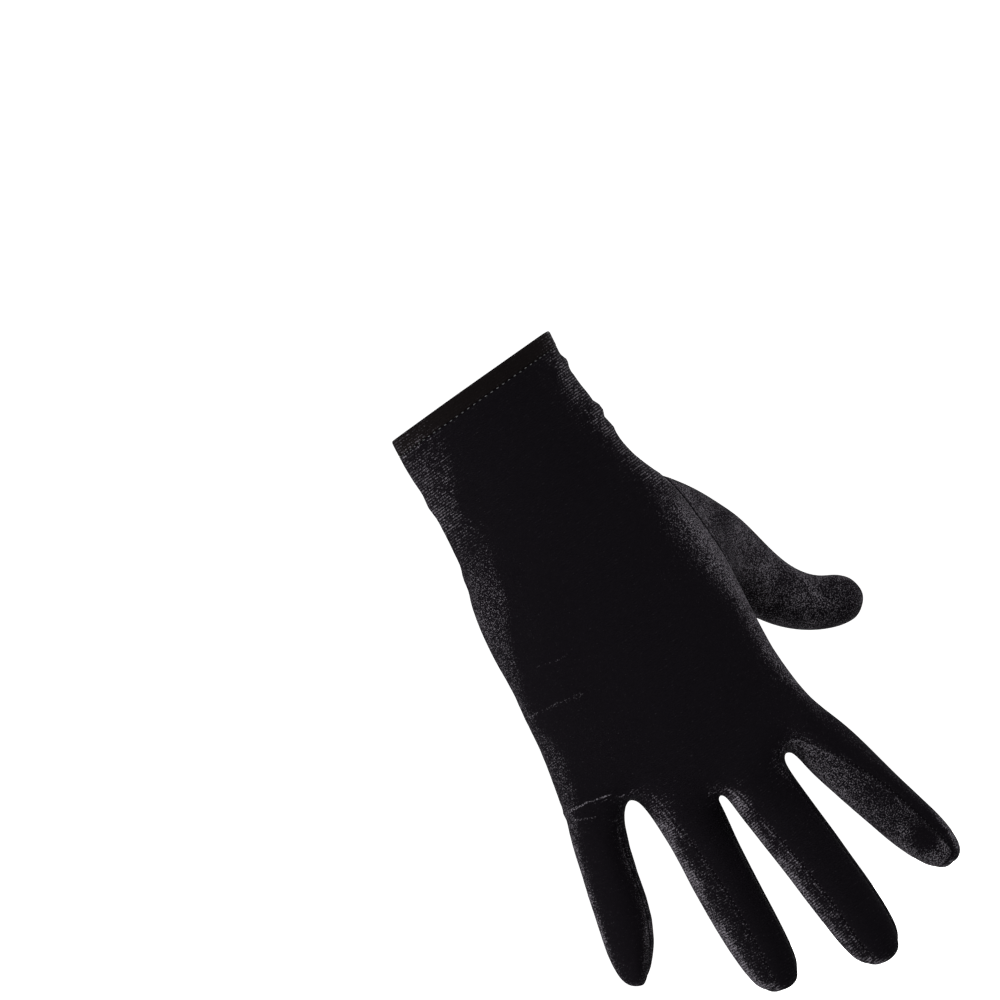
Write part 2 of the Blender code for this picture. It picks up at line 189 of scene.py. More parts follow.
# A level ray from the glove's outside leaves through an even number of walls, two faces to each
def looksOutside(face, walls):
    place, direction = face.calc_center_median(), face.normal.copy()
    if abs(direction.z) < cloth["level"]:
        direction.z = 0.0
    crossed = 0
    while crossed < cloth["mostWalls"]:
        hit = walls.ray_cast(place + direction * cloth["rayGap"], direction)
        if hit[0] is None:
            break
        place, crossed = hit[0], crossed + 1
    return (crossed // 2) % 2 == 0


# Sorts a cage's faces into outer wall, inner wall and cut edges: groups between sharp edges,
# where a cut edge is a strip with a sharp edge on both its sides
def sortSides(cage, walls):
    sharp = {e for e in cage.edges if e.calc_face_angle(0.0) > math.radians(cloth["sharpAngle"])}
    side, seen = {}, set()
    for first in cage.faces:
        if first in seen:
            continue
        group, front = [], [first]
        seen.add(first)
        while front:
            face = front.pop()
            group.append(face)
            for e in face.edges:
                if e in sharp:
                    continue
                for other in e.link_faces:
                    if other not in seen:
                        seen.add(other)
                        front.append(other)
        edgesPerFace = sum(e in sharp for f in group for e in f.edges) / len(group)
        if edgesPerFace > cloth["stripEdges"]:
            kind = "edge"
        else:
            step = max(1, len(group) // cloth["votes"])
            votes = [looksOutside(f, walls) for f in group[::step]]
            kind = "outer" if 2 * sum(votes) > len(votes) else "inner"
        for f in group:
            side[f] = kind
    return side, sharp


# Readies a cage for smoothing: cut edges keep a crease, sewn ones close up and sink a little, and
# each point remembers which way is out, how near a seam it is and on which side of the wall it is
def readyCage(cage, side, sharp):
    outwards = cage.verts.layers.float_vector["outwards"]
    seam, outside = cage.verts.layers.float["seam"], cage.verts.layers.float["outside"]
    crease = cage.edges.layers.float["crease_edge"]
    cutEdge = cage.faces.layers.float["cutEdge"]
    for f in cage.faces:
        f[cutEdge] = 1.0 if side[f] == "edge" else 0.0
    moves = []
    for v in cage.verts:
        out, rim = Vector(), Vector()
        for f in v.link_faces:
            if side[f] == "edge":
                rim += f.normal * f.calc_area()
            else:
                out += f.normal * (1.0 if side[f] == "outer" else -1.0)
        if out.length > 0.0:
            out.normalize()
        v[outwards] = out
        v[outside] = 1.0 if any(side[f] == "outer" for f in v.link_faces) else 0.0
        atEdge = any(side[f] == "edge" for f in v.link_faces)
        if atEdge and v.co.z < cloth["freeEdge"]:
            v[seam] = 1.0
            dip = cloth["hemDip"] if v.co.z > cloth["hemLine"] else cloth["dip"]
            moves.append((v, rim.normalized() * cloth["close"] - out * dip))
    for v, move in moves:
        v.co += move
    for e in sharp:
        e[crease] = cloth["edgeCrease"]


def toObject(cage, name):
    mesh = bpy.data.meshes.new(name)
    cage.to_mesh(mesh)
    cage.free()
    piece = bpy.data.objects.new(name, mesh)
    scene.collection.objects.link(piece)
    return piece


# Replaces an object's mesh by what its modifiers make of it, and takes the modifiers off
def applyModifiers(piece):
    graph = bpy.context.evaluated_depsgraph_get()
    made = bpy.data.meshes.new_from_object(piece.evaluated_get(graph), depsgraph=graph)
    piece.modifiers.clear()
    old = piece.data
    piece.data = made
    made.name = piece.name
    bpy.data.meshes.remove(old)


# Smoothing draws a shape in a little, so away from the seams the cage first grows by as much
def smoothCloth(piece):
    smooth = piece.modifiers.new("smooth", "SUBSURF")
    smooth.levels = smooth.render_levels = cloth["levels"]
    wanted = readPoints(piece.data, "position", 3)
    away = 1.0 - readPoints(piece.data, "seam", 1)[:, None]
    graph = bpy.context.evaluated_depsgraph_get()
    for _ in range(cloth["growSteps"]):
        smoothed = piece.evaluated_get(graph).to_mesh()
        drawn = readPoints(smoothed, "position", 3)[:len(wanted)]
        grown = readPoints(piece.data, "position", 3) + away * (wanted - drawn)
        piece.evaluated_get(graph).to_mesh_clear()
        piece.data.vertices.foreach_set("co", grown.astype(np.float32).ravel())
        piece.data.update()
        graph.update()
    drawnIn = float(np.abs(wanted - drawn).max()) / mm
    print("  drawn in by at most", round(drawnIn, 2), "mm before the last step")
    applyModifiers(piece)


def readPoints(mesh, name, width):
    values = np.zeros(len(mesh.vertices) * width)
    if name == "position":
        mesh.vertices.foreach_get("co", values)
    elif width == 1:
        mesh.attributes[name].data.foreach_get("value", values)
    else:
        mesh.attributes[name].data.foreach_get("vector", values)
    return values.reshape(-1, width) if width > 1 else values


def writeFloat(mesh, name, values):
    layer = mesh.attributes.get(name) or mesh.attributes.new(name, "FLOAT", "POINT")
    layer.data.foreach_set("value", values.astype(np.float32))


# Distance in the hand's plane from points to a line of joined straight parts
def distanceTo(line, x, z):
    nearest = np.full(len(x), 1e9)
    for (ax, az), (bx, bz) in zip(line, line[1:]):
        ax, az, bx, bz = ax * mm, az * mm, bx * mm, bz * mm
        length = (bx - ax) ** 2 + (bz - az) ** 2
        t = np.clip(((x - ax) * (bx - ax) + (z - az) * (bz - az)) / length, 0.0, 1.0)
        nearest = np.minimum(nearest, np.hypot(x - ax - t * (bx - ax), z - az - t * (bz - az)))
    return nearest


# Where points lie on a finger: how far along it from its root and how far across it, towards the
# thumb, and the finger's direction
def onFinger(line, x, z):
    rootX, rootZ, lean = line
    dx, dz = math.sin(math.radians(lean)), -math.cos(math.radians(lean))
    x, z = x - rootX * mm, z - rootZ * mm
    return x * dx + z * dz, z * dx - x * dz, dx, dz


# How far along the cloth a point lies from the cuff, so that the ribs of the knit run across
# the hand and, past its root, across each finger
def grainOf(name, points):
    x, z = points[:, 0], points[:, 2]
    if name == "thumbPiece":
        root, tip = Vector(thumbLine["root"]) * mm, Vector(thumbLine["tip"]) * mm
        axis = np.array((tip - root).normalized())
        return (points - np.array(root)) @ axis
    grain, best = -z, np.full(len(x), 1e9)
    for line in fingerLines:
        along, across = onFinger(line, x, z)[:2]
        share = past(along, -rootFade / 2.0, rootFade)
        mine = np.abs(across) < best
        grain = np.where(mine, -z + share * (along - line[1] * mm + z), grain)
        best = np.where(mine, np.abs(across), best)
    return grain


# How strong the painted sheen is where the cloth turns away, lighter or darker from side to side as
# the light falls: on the hand, less on its outer side, on each finger's outer side and its side towards
# the thumb, and more or less in places (x, z, reach in mm, how much). On the thumb it is 1, but for such
# places
handSheen = {
    "most": 0.45, "less": 0.24, "lessFrom": -8.0 * mm, "lessOver": 14.0 * mm,
    "fingersFrom": -4.0 * mm, "fingersOver": 12.0 * mm,   # along a finger, its own takes over
    "facing": 1.2,                                        # how sharply its two sides differ
}
fingerSideSheen = [(0.62, 0.45), (1.25, 0.10), (1.05, 0.10), (1.10, 0.45)]
sideSheenPatches = [(34.2, -195.6, 3.4, -2.4), (31.0, -196.0, 8.0, 0.35), (41.8, -199.4, 7.0, 1.0),
              (-54.4, -171.8, 8.0, 0.60), (-44.0, -156.0, 10.0, 0.30)]
# Painted highlights above and beside the webs of the fingers
webHighlights = [(-25.3, -139.6, 5.0, 0.36), (-5.2, -151.7, 4.5, 0.36), (19.0, -148.8, 4.6, 0.40),
                (9.7, -152.3, 4.5, 0.34)]
# Painted sheen along both edges of the hand, as far in as the x of each row: z, x, how strongly
sheenEdges = [
    (-1.0, 4.0, [(0, -15, 0.30), (-8, -14, 0.42), (-18, -17, 0.55), (-29, -23, 0.55), (-36, -21, 0.45),
                 (-42, -20, 0.36), (-47, -23, 0.48), (-61, -27, 0.58), (-67, -31, 0.56), (-76, -35, 0.50),
                 (-88, -40, 0.46), (-96, -42, 0.42), (-110, -40, 0.52), (-122, -44, 0.52),
                 (-135, -52, 0.36), (-147, -56, 0.42), (-166, -63, 0.38), (-180, -69, 0.0)]),
    (1.0, 8.0, [(0, 24, 0.40), (-11, 21, 0.42), (-17, 18, 0.34), (-27, 16, 0.30), (-39, 22, 0.42),
                (-59, 21, 0.38), (-72, 19, 0.50), (-92, 22, 0.64), (-103, 24, 0.56), (-116, 22, 0.48),
                (-131, 22, 0.50), (-145, 29, 0.40), (-155, 36, 0.0)]),
]


def paintedSheenOf(points):
    x, z = points[:, 0] / mm, points[:, 2] / mm
    shine = np.zeros(len(x))
    for way, fade, rows in sheenEdges:
        heights, ends, strengths = [np.array(column, float)[::-1] for column in zip(*rows)]
        inside = way * (x - np.interp(z, heights, ends)) / fade
        shine += np.interp(z, heights, strengths) * ease(inside)
    for patchX, patchZ, reach, strength in webHighlights:
        shine += strength * np.exp(-((x - patchX) ** 2 + (z - patchZ) ** 2) / reach ** 2)
    return shine


# The ribs are plain at the wrist and lost in the pile further down, on both sides of the hand and
# on the little finger: where they begin to fade and over what length, in mm, and how far
ribFade = {
    "thumbSide": (6.0, 10.0), "downThumbSide": (-52.0, 24.0), "byThumb": 0.75,
    "outerSide": (-6.0, 10.0), "downOuterSide": (-34.0, 16.0), "byOuter": 0.65,
    "aboveRoots": (-132.0, 14.0), "littleFinger": (-38.0, 8.0),
}


def ribsOf(points):
    x, z = points[:, 0] / mm, points[:, 2] / mm
    thumbSide = past(x, *ribFade["thumbSide"]) * below(z, *ribFade["downThumbSide"])
    outerSide = below(x, *ribFade["outerSide"]) * below(z, *ribFade["downOuterSide"])
    outerSide *= np.maximum(past(z, *ribFade["aboveRoots"]), below(x, *ribFade["littleFinger"]))
    return 1.0 - ribFade["byThumb"] * thumbSide - ribFade["byOuter"] * outerSide


def sideSheenOf(name, points, outwards):
    x, z = points[:, 0], points[:, 2]
    hand = handSheen["most"] - handSheen["less"] * below(x, handSheen["lessFrom"], handSheen["lessOver"])
    sideSheen, best = hand if name != "thumbPiece" else np.ones(len(x)), np.full(len(x), 1e9)
    if name != "thumbPiece":
        for line, (left, right) in zip(fingerLines, fingerSideSheen):
            along, across, dx, dz = onFinger(line, x, z)
            towards = ease(0.5 + handSheen["facing"] * (-outwards[:, 0] * dz + outwards[:, 2] * dx))
            side = left + (right - left) * towards
            mine = np.abs(across) < best
            own = past(along, handSheen["fingersFrom"], handSheen["fingersOver"])
            sideSheen = np.where(mine, hand + (side - hand) * own, sideSheen)
            best = np.where(mine, np.abs(across), best)
    for patchX, patchZ, reach, change in sideSheenPatches:
        away = np.hypot(x - patchX * mm, z - patchZ * mm) / (reach * mm)
        sideSheen += change * np.exp(-away ** 2)
    return np.maximum(sideSheen, 0.0)


# The little finger is slimmer on its web's side: how far along it, and by how much, in mm
slimFinger = {
    "along": (0.0, 5.0, 12.0, 20.0, 28.0, 35.0, 42.0, 48.0, 53.0, 60.0),
    "by": (0.0, 0.8, 1.4, 1.1, 0.3, 0.0, 0.7, 1.9, 2.3, 2.0),
    "reach": (7.0, 4.0),     # this far from the finger's middle by all of it, less far at the tip
    "outer": (11.0, 3.0),    # beyond the first it gets less, over the second
    "tip": (46.0, 10.0),     # past this the tip runs on,
    "stretch": 0.9,          # by this much,
    "own": 20.0,             # and only the finger's own
}


def slimmed(points):
    along, across, dx, dz = onFinger(fingerLines[0], points[:, 0], points[:, 2])
    along, across = along / mm, across / mm
    atTip = past(along, *slimFinger["tip"])
    first, last = slimFinger["reach"]
    share = np.clip(across / (first + (last - first) * atTip), 0.0, 1.0)
    share *= 1.0 - past(across, *slimFinger["outer"])
    inwards = share * np.interp(along, slimFinger["along"], slimFinger["by"]) * mm
    ahead = slimFinger["stretch"] * atTip * (np.abs(across) < slimFinger["own"]) * mm
    moves = [inwards * dz + ahead * dx, np.zeros(len(along)), -inwards * dx + ahead * dz]
    return points + np.stack(moves, axis=1)


# Moves the points of a finished piece outwards by its creases, waves and puckers, and writes
# what its material reads: grain, painted sheen by side, ribs, and painted highlights (shine)
def shapeCloth(piece):
    mesh = piece.data
    points = readPoints(mesh, "position", 3)
    outwards = readPoints(mesh, "outwards", 3)
    seam = readPoints(mesh, "seam", 1)
    x, z = points[:, 0], points[:, 2]
    lift = np.zeros(len(x))
    # painted sheen along the hand's edges and painted highlights above the webs
    shine = paintedSheenOf(points) if piece.name != "thumbPiece" else np.zeros(len(x))
    for line, face, halfWidth, height, crest in creases:
        near = distanceTo(line, x, z) / (halfWidth * mm)
        beside = (near - creaseShape["hollowAt"]) / creaseShape["hollowWidth"]
        ridge = np.exp(-near ** 2) - creaseShape["hollow"] * np.exp(-beside ** 2)
        facing = np.ones(len(x))
        if face != 0:
            facing = ease(0.5 + creaseShape["facing"] * face * outwards[:, 1])
        lift += height * mm * ridge * facing
        # painted highlight along the crease's crest
        shine += crest * np.exp(-(near / creaseShape["shine"]) ** 2) * facing
    wave = np.array([noise.noise(Vector(p) / cloth["waveSize"]) for p in points])
    ripple = np.array([noise.noise(Vector(p) / cloth["puckerSize"]) for p in points])
    lift += cloth["wave"] * wave * below(z, 0.0, cloth["waveFade"])
    lift += cloth["pucker"] * ripple * seam
    points = slimmed(points + outwards * lift[:, None])
    mesh.vertices.foreach_set("co", points.astype(np.float32).ravel())
    writeFloat(mesh, "grain", grainOf(piece.name, points))
    writeFloat(mesh, "sideSheen", sideSheenOf(piece.name, points, outwards))
    writeFloat(mesh, "ribs", ribsOf(points))
    writeFloat(mesh, "shine", shine)
    mesh.update()


walls = wallTree()
dressed = {}
for name, node in clothPieces:
    cage = quadCage(node)
    side, sharp = sortSides(cage, walls)
    counted = [sum(1 for s in side.values() if s == kind) for kind in ("outer", "inner", "edge")]
    print(name, "outer, inner and edge faces:", counted)
    readyCage(cage, side, sharp)
    piece = toObject(cage, name)
    smoothCloth(piece)
    shapeCloth(piece)
    piece.data.polygons.foreach_set("use_smooth", [True] * len(piece.data.polygons))
    dressed[name] = piece
print("cloth pieces shaped")

# Stitches: the pitch from one to the next, each one's length, width and height, and how deep it
# sits in the cloth
stitches = {
    "hem": {"Pitch": 2.2 * mm, "Length": 0.95 * mm, "Width": 0.38 * mm,
            "Height": 0.34 * mm, "Sunk": 0.02 * mm},
    "seam": {"Pitch": 1.7 * mm, "Length": 0.30 * mm, "Width": 0.75 * mm,
             "Height": 0.26 * mm, "Sunk": 0.16 * mm},
    "segments": 8,           # of each stitch's rounded form
    "rings": 5,
    "reach": 1.6 * mm,       # how far apart two sewn edges may lie
    "onEdge": 0.999,         # points with more of seam and outside than this are on the edge
    "laidSteps": 6,          # points to each straight part of the thumb's seam
}
# The thumb's own seam, (x, z) in mm
thumbSeam = [(33.0, -109.8), (34.8, -113.2), (38.2, -117.0),
             (43.0, -120.8), (47.6, -123.4), (53.6, -125.4)]
beforeBack = -200.0          # Y in mm from where rays look at the back of the hand


def cornersAndFaces(piece):
    points = [v.co for v in piece.data.vertices]
    return points, [tuple(f.vertices) for f in piece.data.polygons]


# The point of the cloth that shows from the back at x and z in mm, or the one nearest to it
def onCloth(tree, x, z):
    place = tree.ray_cast(Vector((x, beforeBack, z)) * mm, Vector((0.0, 1.0, 0.0)))[0]
    return place or tree.find_nearest(Vector((x, -10.0, z)) * mm)[0]


# Sorts the outer cut edge of a finished piece into lines of points, end to end
def edgeLines(piece):
    mesh = piece.data
    seam, outside = readPoints(mesh, "seam", 1), readPoints(mesh, "outside", 1)
    chosen = (seam > stitches["onEdge"]) & (outside > stitches["onEdge"])
    points, outwards = readPoints(mesh, "position", 3), readPoints(mesh, "outwards", 3)
    ends = np.zeros(2 * len(mesh.edges), int)
    mesh.edges.foreach_get("vertices", ends)
    nextTo = {}
    for a, b in ends.reshape(-1, 2):
        if chosen[a] and chosen[b]:
            nextTo.setdefault(a, []).append(b)
            nextTo.setdefault(b, []).append(a)
    lines, used = [], set()
    for start in sorted(nextTo, key=lambda v: (len(nextTo[v]) != 1, v)):
        if start in used:
            continue
        line, here = [], start
        while here is not None:
            used.add(here)
            line.append(here)
            here = next((v for v in nextTo[here] if v not in used), None)
        if len(line) > 3 and start in nextTo[line[-1]]:
            line.append(start)
        lines.append([(Vector(points[v]), Vector(outwards[v])) for v in line])
    return lines


# The lines in the middle between two pieces' edges, with the way out of the cloth at each point
def sewnLines():
    edges = {name: edgeLines(piece) for name, piece in dressed.items()}
    lines = {"hem": [], "seam": []}
    for number, (name, found) in enumerate(edges.items()):
        # each seam is taken once, from the piece that comes first
        others = [p for other in list(edges)[number + 1:] for line in edges[other] for p in line]
        if not others:
            continue
        tree = KDTree(len(others))
        for place, (point, out) in enumerate(others):
            tree.insert(point, place)
        tree.balance()
        for line in found:
            part = []
            for point, out in line + [(None, None)]:
                near = tree.find(point) if point is not None else (None, None, 1.0)
                if near[2] < stitches["reach"]:
                    part.append(((point + near[0]) / 2.0, (out + others[near[1]][1]).normalized()))
                else:
                    if len(part) > 2:
                        lines["hem" if name == "cuffHem" else "seam"].append(part)
                    part = []
    # the thumb's own seam, laid over its lower side
    thumb = BVHTree.FromPolygons(*cornersAndFaces(dressed["thumbPiece"]))
    laid = []
    for (ax, az), (bx, bz) in zip(thumbSeam, thumbSeam[1:]):
        for step in range(stitches["laidSteps"]):
            t = step / stitches["laidSteps"]
            start = Vector((ax + t * (bx - ax), beforeBack, az + t * (bz - az))) * mm
            place, out = thumb.ray_cast(start, Vector((0.0, 1.0, 0.0)))[:2]
            if place is not None:
                laid.append((place, out))
    lines["seam"].append(laid)
    return lines


# Points joined to lines, which know the way out of the cloth
def threadGuide(name, lines):
    mesh = bpy.data.meshes.new(name)
    points, edges, out = [], [], []
    for line in lines:
        start = len(points)
        points += [p for p, _ in line]
        out += [o for _, o in line]
        edges += [(start + i, start + i + 1) for i in range(len(line) - 1)]
    mesh.from_pydata(points, edges, [])
    layer = mesh.attributes.new("out", "FLOAT_VECTOR", "POINT")
    layer.data.foreach_set("vector", np.array([tuple(o) for o in out], np.float32).ravel())
    guide = bpy.data.objects.new(name, mesh)
    scene.collection.objects.link(guide)
    return guide


# One small rounded stitch after another along each line
def makeStitchTree():
    tree = bpy.data.node_groups.new("stitchAlong", "GeometryNodeTree")
    tree.is_modifier = True
    face = tree.interface
    face.new_socket("Geometry", in_out="INPUT", socket_type="NodeSocketGeometry")
    for name in ("Pitch", "Length", "Width", "Height", "Sunk"):
        face.new_socket(name, in_out="INPUT", socket_type="NodeSocketFloat").default_value = mm
    face.new_socket("Material", in_out="INPUT", socket_type="NodeSocketMaterial")
    face.new_socket("Geometry", in_out="OUTPUT", socket_type="NodeSocketGeometry")
    add = tree.nodes.new
    inputs, outputs = add("NodeGroupInput").outputs, add("NodeGroupOutput").inputs

    curve = add("GeometryNodeMeshToCurve")
    link(tree, inputs["Geometry"], curve.inputs["Mesh"])
    even = add("GeometryNodeResampleCurve")
    even.mode = "LENGTH"
    link(tree, curve.outputs["Curve"], even.inputs["Curve"])
    link(tree, inputs["Pitch"], even.inputs["Length"])

    out = add("GeometryNodeInputNamedAttribute")
    out.data_type = "FLOAT_VECTOR"
    out.inputs["Name"].default_value = "out"
    along = add("FunctionNodeAlignRotationToVector")
    along.axis = "X"
    link(tree, add("GeometryNodeInputTangent").outputs["Tangent"], along.inputs["Vector"])
    lifted = add("FunctionNodeAlignRotationToVector")
    lifted.axis, lifted.pivot_axis = "Z", "X"
    link(tree, along.outputs["Rotation"], lifted.inputs["Rotation"])
    link(tree, out.outputs["Attribute"], lifted.inputs["Vector"])

    ball = add("GeometryNodeMeshUVSphere")
    ball.inputs["Segments"].default_value = stitches["segments"]
    ball.inputs["Rings"].default_value = stitches["rings"]
    ball.inputs["Radius"].default_value = 0.5
    size = add("ShaderNodeCombineXYZ")
    for key, name in (("X", "Length"), ("Y", "Width"), ("Z", "Height")):
        link(tree, inputs[name], size.inputs[key])
    shape = add("GeometryNodeTransform")
    link(tree, ball.outputs["Mesh"], shape.inputs["Geometry"])
    link(tree, size.outputs["Vector"], shape.inputs["Scale"])

    sink = add("ShaderNodeVectorMath")
    sink.operation = "SCALE"
    link(tree, out.outputs["Attribute"], sink.inputs[0])
    down = add("ShaderNodeMath")
    down.operation = "MULTIPLY"
    down.inputs[1].default_value = -1.0
    link(tree, inputs["Sunk"], down.inputs[0])
    link(tree, down.outputs[0], sink.inputs["Scale"])
    lower = add("GeometryNodeSetPosition")
    link(tree, even.outputs["Curve"], lower.inputs["Geometry"])
    link(tree, sink.outputs["Vector"], lower.inputs["Offset"])

    sewn = add("GeometryNodeInstanceOnPoints")
    link(tree, lower.outputs["Geometry"], sewn.inputs["Points"])
    link(tree, shape.outputs["Geometry"], sewn.inputs["Instance"])
    link(tree, lifted.outputs["Rotation"], sewn.inputs["Rotation"])
    real = add("GeometryNodeRealizeInstances")
    link(tree, sewn.outputs["Instances"], real.inputs["Geometry"])
    dyed = add("GeometryNodeSetMaterial")
    link(tree, real.outputs["Geometry"], dyed.inputs["Geometry"])
    link(tree, inputs["Material"], dyed.inputs["Material"])
    link(tree, dyed.outputs["Geometry"], outputs["Geometry"])
    return tree


def sew(name, lines, sizes, material, tree):
    thread = threadGuide(name, lines)
    modifier = thread.modifiers.new("stitches", "NODES")
    modifier.node_group = tree
    values = dict(sizes, Material=material)
    for socket in tree.interface.items_tree:
        if socket.in_out == "INPUT" and socket.name in values:
            modifier[socket.identifier] = values[socket.name]
    applyModifiers(thread)
    thread.data.polygons.foreach_set("use_smooth", [True] * len(thread.data.polygons))
    return thread


# Materials
velvet = {
    "deep": (0.0030, 0.0024, 0.0034, 1.0),     # looking into the pile
    "lit": (0.238, 0.220, 0.248, 1.0),         # painted sheen colour, the pile seen along its fibres
    "ribPitch": 0.85 * mm,
    "fleckSize": 0.36 * mm,
    "fleckRoughness": 0.6,
    "sheen": 0.015,
    "sheenRoughness": 0.35,
    "sheenTint": (0.62, 0.58, 0.70, 1.0),
    "gloss": 0.025,
    "bump": 0.12 * mm,
    "spread": 0.80,          # how far full sheen lowers the flecks' threshold
    "sparse": 0.93,          # flecks show once sheen and fleck together pass this
    "dense": 1.55,           # and are at their fullest here
    "most": 0.85,            # painted sheen of cloth seen edge on
    "ridge": (0.45, 0.85),   # where beside a seam, from 0 away from it to 1 at it, the cloth rises, how strongly a painted highlight shines there, in places, where it sinks, and how dark the painted shade is there
    "seamHighlight": 0.40,           # how strongly it shines there, in places,
    "valley": (0.76, 0.98),  # where it sinks, and how dark it is there
    "shade": 0.85,
    "faint": 0.30,           # strength of the flecks in cloth that hardly shines
    "cloudSize": 9.0 * mm,   # patches where the pile lies otherwise
    "cloud": 0.25,
    "seamHighlightSize": 2.4 * mm,
    "dash": 1.1 * mm,        # length of the dashes that make up a rib
    "dashShift": 3.7,        # how unlike two neighbouring ribs' dashes are
    "between": 0.25,         # what is left of a rib between its dashes
    "fleckPart": 0.25,       # of the flecks beside the deepest ribs
    "fleckHeight": 1.2,      # against the ribs'
    "rough": (0.95, 0.70),   # between the flecks and on them
    "bumpStrength": 0.5,
    # the parts of the noises' range that count, from none to all of the effect
    "fleckRange": (0.40, 0.78),
    "dashRange": (0.34, 0.62),
    "cloudRange": (0.30, 0.70),
    "seamHighlightRange": (0.35, 0.65),
}


def mathNode(tree, operation, first, second=None, clamp=False):
    node = tree.nodes.new("ShaderNodeMath")
    node.operation, node.use_clamp = operation, clamp
    for slot, value in enumerate((first, second)):
        if value is None:
            continue
        if isinstance(value, (int, float)):
            node.inputs[slot].default_value = value
        else:
            link(tree, value, node.inputs[slot])
    return node.outputs[0]


def rangeNode(tree, value, fromLow, fromHigh, toLow=0.0, toHigh=1.0):
    node = tree.nodes.new("ShaderNodeMapRange")
    node.interpolation_type = "SMOOTHSTEP"
    link(tree, value, node.inputs["Value"])
    for key, number in (("From Min", fromLow), ("From Max", fromHigh),
                        ("To Min", toLow), ("To Max", toHigh)):
        node.inputs[key].default_value = number
    return node.outputs["Result"]


def noiseNode(tree, place, size, detail):
    node = tree.nodes.new("ShaderNodeTexNoise")
    node.inputs["Detail"].default_value = detail
    link(tree, place, node.inputs["Vector"])
    if isinstance(size, float):
        node.inputs["Scale"].default_value = 1.0 / size
    else:
        link(tree, mathNode(tree, "DIVIDE", 1.0, size), node.inputs["Scale"])
    return node


def clothValue(tree, name):
    node = tree.nodes.new("ShaderNodeAttribute")
    node.attribute_name = name
    return node.outputs["Fac"]


# Flecks of pile and ribs of knit, as a mask for the colour and a height for the bump
def makePileGroup():
    tree = bpy.data.node_groups.new("pileAndRibs", "ShaderNodeTree")
    for name, default in (("Grain", 0.0), ("Rib Pitch", velvet["ribPitch"]),
                          ("Fleck Size", velvet["fleckSize"]), ("Rib Depth", 0.6)):
        socket = tree.interface.new_socket(name, in_out="INPUT", socket_type="NodeSocketFloat")
        socket.default_value = default
    for name in ("Fleck", "Height", "Cloud", "Seam Highlight"):
        tree.interface.new_socket(name, in_out="OUTPUT", socket_type="NodeSocketFloat")
    inputs = tree.nodes.new("NodeGroupInput").outputs
    outputs = tree.nodes.new("NodeGroupOutput").inputs
    place = tree.nodes.new("ShaderNodeTexCoord").outputs["Object"]
    fine = noiseNode(tree, place, inputs["Fleck Size"], 1.0)
    fine.inputs["Roughness"].default_value = velvet["fleckRoughness"]

    # each rib is a row of short dashes of its own
    row = mathNode(tree, "DIVIDE", inputs["Grain"], inputs["Rib Pitch"])
    rowNumber = mathNode(tree, "FLOOR", row)
    dash = noiseNode(tree, place, velvet["dash"], 0.0)
    dash.noise_dimensions = "4D"
    link(tree, mathNode(tree, "MULTIPLY", rowNumber, velvet["dashShift"]), dash.inputs["W"])

    wave = mathNode(tree, "SINE", mathNode(tree, "MULTIPLY", row, 2.0 * math.pi))
    rib = mathNode(tree, "MULTIPLY_ADD", wave, 0.5)
    rib.node.inputs[2].default_value = 0.5
    dashes = rangeNode(tree, dash.outputs["Fac"], *velvet["dashRange"], velvet["between"], 1.0)
    ribDashed = mathNode(tree, "MULTIPLY", rib, dashes)

    cloud = noiseNode(tree, place, velvet["cloudSize"], 2.0)
    least, most = 1.0 - velvet["cloud"], 1.0 + velvet["cloud"]
    clouds = rangeNode(tree, cloud.outputs["Fac"], *velvet["cloudRange"], least, most)
    link(tree, clouds, outputs["Cloud"])

    # strength of the painted highlight beside the seams, more in some places than in others
    seamHighlight = noiseNode(tree, place, velvet["seamHighlightSize"], 1.0)
    seamHighlights = rangeNode(tree, seamHighlight.outputs["Fac"], *velvet["seamHighlightRange"], 0.0, velvet["seamHighlight"])
    link(tree, seamHighlights, outputs["Seam Highlight"])

    flecks = rangeNode(tree, fine.outputs["Fac"], *velvet["fleckRange"])
    depth = inputs["Rib Depth"]
    plain = mathNode(tree, "SUBTRACT", 1.0, depth)
    ribPart = mathNode(tree, "MULTIPLY", ribDashed, depth)
    share = mathNode(tree, "ADD", plain, velvet["fleckPart"])
    fleckPart = mathNode(tree, "MULTIPLY", flecks, share)
    link(tree, mathNode(tree, "ADD", ribPart, fleckPart), outputs["Fleck"])
    ribHeight = mathNode(tree, "MULTIPLY", rib, depth)
    fleckHeight = mathNode(tree, "MULTIPLY", fine.outputs["Fac"], velvet["fleckHeight"])
    link(tree, mathNode(tree, "ADD", ribHeight, fleckHeight), outputs["Height"])
    return tree


# A fine painted highlight along the crest of a fold. Depth counts for less than the rest, so
# that the line bends with the cloth
foldDepth = (1.0, 0.3, 1.0)


